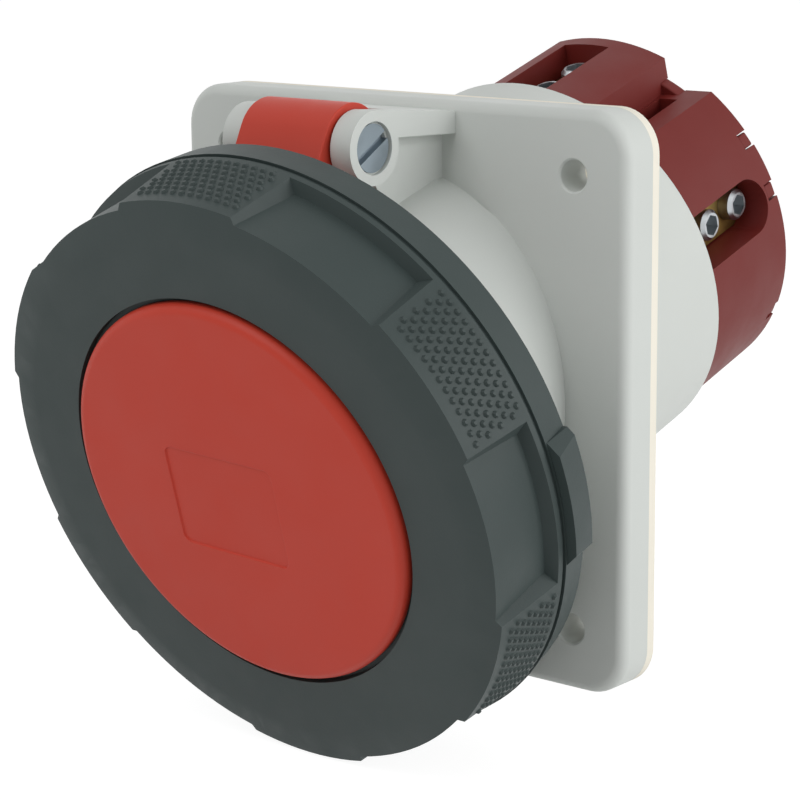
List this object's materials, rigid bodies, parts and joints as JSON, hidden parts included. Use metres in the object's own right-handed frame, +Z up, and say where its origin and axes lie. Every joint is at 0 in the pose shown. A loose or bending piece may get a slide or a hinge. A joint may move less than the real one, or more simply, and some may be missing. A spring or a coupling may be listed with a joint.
{
  "type": "panel socket",
  "caption": "Sloping 5-pole industrial panel socket with a hinged lid, a ribbed bayonet locking ring, a square sealed flange and a rear terminal housing with clamp screws",
  "frame": {"origin": "Middle of the mounting plane, where the gasket meets the panel, at the centre of the four fixing holes", "axes": "+Y goes into the panel, +X is right as seen from the front, +Z is up. The socket's axis lies in the YZ plane and leans 17.5 degrees down towards the front"},
  "size_m": [0.1466, 0.1793, 0.156],
  "materials": {
    "grey_plastic": "satin moulded",
    "slate_plastic": "fine texture",
    "red_plastic": "satin moulded",
    "dark_red_plastic": "satin moulded",
    "gasket_foam": "matt",
    "black_rubber": "matt",
    "steel": "zinc plated",
    "brass": "machined"
  },
  "bodies": {
    "housing": {"flange_housing": "grey_plastic", "panel_gasket": "gasket_foam", "contact_carrier": "dark_red_plastic", "carrier_seal": "black_rubber", "carrier_screws": "steel", "terminal_housing": "dark_red_plastic", "rear_cover": "dark_red_plastic", "tie_screws": "steel", "contact_earth": "brass", "contact_l1": "brass", "contact_l2": "brass", "contact_l3": "brass", "contact_neutral": "brass", "contact_pilot": "brass", "contact_springs": "steel", "terminal_screws": "steel", "hinge_pin": "steel"},
    "lid": {"lid": "red_plastic", "lid_disc": "red_plastic", "lid_seal": "black_rubber", "lid_screws": "steel"},
    "ring": {"bayonet_ring": "slate_plastic"}
  },
  "joints": [
    {"name": "lid_swing", "type": "hinge", "parent": "housing", "child": "lid", "pos_m": [0, -0.0397, 0.0571], "axis": [-1, 0, 0], "range_deg": [0, 110]},
    {"name": "ring_turn", "type": "hinge", "parent": "lid", "child": "ring", "pos_m": [0, 0, 0.003], "axis": [0, 0.9537, 0.3007], "range_deg": [0, 40]}
  ]
}
